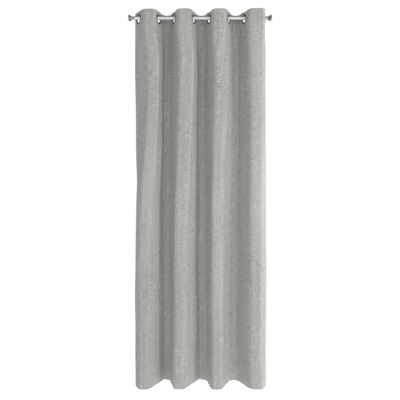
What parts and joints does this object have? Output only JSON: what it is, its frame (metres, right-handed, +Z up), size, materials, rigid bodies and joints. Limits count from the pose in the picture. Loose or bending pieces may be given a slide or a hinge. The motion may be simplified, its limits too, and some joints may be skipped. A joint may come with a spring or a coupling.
{
  "type": "eyelet curtain panel on a rod",
  "caption": "Floor-length linen-look curtain panel in soft vertical folds, hung by metal eyelets on a short round rod with a flared finial at each end.",
  "frame": {"origin": "on the axis of the rod at mid-length", "axes": "+X along the rod to the right as seen from the room, -Y towards the room, +Z up"},
  "size_m": [0.966, 0.1345, 2.5],
  "materials": {
    "linen_cloth": "matt linen-look weave, mid grey, with fine slubs",
    "heading_tape": "stiff woven heading tape inside the header",
    "eyelet_metal": "dark satin nickel, rounded rings",
    "rod_metal": "pale satin nickel tube",
    "finial_metal": "turned finial in satin nickel, a little darker than the rod",
    "plug_plastic": "moulded plastic plug, hidden in the rod",
    "label_cloth": "blank white woven care label"
  },
  "bodies": {
    "rod": {"rod_tube": "rod_metal"},
    "finial_left": {"finial_left_cap": "finial_metal", "finial_left_plug": "plug_plastic"},
    "finial_right": {"finial_right_cap": "finial_metal", "finial_right_plug": "plug_plastic"},
    "fold_1": {"cloth_fold_1": "linen_cloth", "header_tape_1": "heading_tape", "header_turn_1": "linen_cloth", "bottom_hem_1": "linen_cloth", "eyelet_front_1": "eyelet_metal", "eyelet_back_1": "eyelet_metal", "side_hem_left": "linen_cloth", "care_label": "label_cloth"},
    "fold_2": {"cloth_fold_2": "linen_cloth", "header_tape_2": "heading_tape", "header_turn_2": "linen_cloth", "bottom_hem_2": "linen_cloth", "eyelet_front_2": "eyelet_metal", "eyelet_back_2": "eyelet_metal"},
    "fold_3": {"cloth_fold_3": "linen_cloth", "header_tape_3": "heading_tape", "header_turn_3": "linen_cloth", "bottom_hem_3": "linen_cloth", "eyelet_front_3": "eyelet_metal", "eyelet_back_3": "eyelet_metal"},
    "fold_4": {"cloth_fold_4": "linen_cloth", "header_tape_4": "heading_tape", "header_turn_4": "linen_cloth", "bottom_hem_4": "linen_cloth", "eyelet_front_4": "eyelet_metal", "eyelet_back_4": "eyelet_metal"},
    "fold_5": {"cloth_fold_5": "linen_cloth", "header_tape_5": "heading_tape", "header_turn_5": "linen_cloth", "bottom_hem_5": "linen_cloth", "eyelet_front_5": "eyelet_metal", "eyelet_back_5": "eyelet_metal"},
    "fold_6": {"cloth_fold_6": "linen_cloth", "header_tape_6": "heading_tape", "header_turn_6": "linen_cloth", "bottom_hem_6": "linen_cloth", "eyelet_front_6": "eyelet_metal", "eyelet_back_6": "eyelet_metal"},
    "fold_7": {"cloth_fold_7": "linen_cloth", "header_tape_7": "heading_tape", "header_turn_7": "linen_cloth", "bottom_hem_7": "linen_cloth", "eyelet_front_7": "eyelet_metal", "eyelet_back_7": "eyelet_metal"},
    "fold_8": {"cloth_fold_8": "linen_cloth", "header_tape_8": "heading_tape", "header_turn_8": "linen_cloth", "bottom_hem_8": "linen_cloth", "eyelet_front_8": "eyelet_metal", "eyelet_back_8": "eyelet_metal", "side_hem_right": "linen_cloth"}
  },
  "joints": [
    {"name": "finial_left_pull", "type": "slide", "parent": "rod", "child": "finial_left", "axis": [-1, 0, 0], "range_m": [0, 0.05]},
    {"name": "finial_right_pull", "type": "slide", "parent": "rod", "child": "finial_right", "axis": [1, 0, 0], "range_m": [0, 0.05]},
    {"name": "panel_gather", "type": "hinge", "parent": "rod", "child": "fold_1", "pos_m": [-0.41, 0, -0.008], "axis": [0, 0, -1], "range_deg": [0, 32]},
    {"name": "fold_line_1", "type": "hinge", "parent": "fold_1", "child": "fold_2", "pos_m": [-0.3435, -0.05, -0.008], "axis": [0, 0, -1], "range_deg": [-64, 0]},
    {"name": "fold_line_2", "type": "hinge", "parent": "fold_2", "child": "fold_3", "pos_m": [-0.226, 0.03835, -0.008], "axis": [0, 0, -1], "range_deg": [0, 64]},
    {"name": "fold_line_3", "type": "hinge", "parent": "fold_3", "child": "fold_4", "pos_m": [-0.1085, -0.05, -0.008], "axis": [0, 0, -1], "range_deg": [-64, 0]},
    {"name": "fold_line_4", "type": "hinge", "parent": "fold_4", "child": "fold_5", "pos_m": [0.009, 0.03835, -0.008], "axis": [0, 0, -1], "range_deg": [0, 64]},
    {"name": "fold_line_5", "type": "hinge", "parent": "fold_5", "child": "fold_6", "pos_m": [0.1265, -0.05, -0.008], "axis": [0, 0, -1], "range_deg": [-64, 0]},
    {"name": "fold_line_6", "type": "hinge", "parent": "fold_6", "child": "fold_7", "pos_m": [0.244, 0.03835, -0.008], "axis": [0, 0, -1], "range_deg": [0, 64]},
    {"name": "fold_line_7", "type": "hinge", "parent": "fold_7", "child": "fold_8", "pos_m": [0.3645, -0.05226, -0.008], "axis": [0, 0, -1], "range_deg": [-64, 0]}
  ],
  "couplings": [
    {"joint": "fold_line_1", "follows": "panel_gather", "ratio": -2},
    {"joint": "fold_line_2", "follows": "panel_gather", "ratio": 2},
    {"joint": "fold_line_3", "follows": "panel_gather", "ratio": -2},
    {"joint": "fold_line_4", "follows": "panel_gather", "ratio": 2},
    {"joint": "fold_line_5", "follows": "panel_gather", "ratio": -2},
    {"joint": "fold_line_6", "follows": "panel_gather", "ratio": 2},
    {"joint": "fold_line_7", "follows": "panel_gather", "ratio": -2}
  ]
}
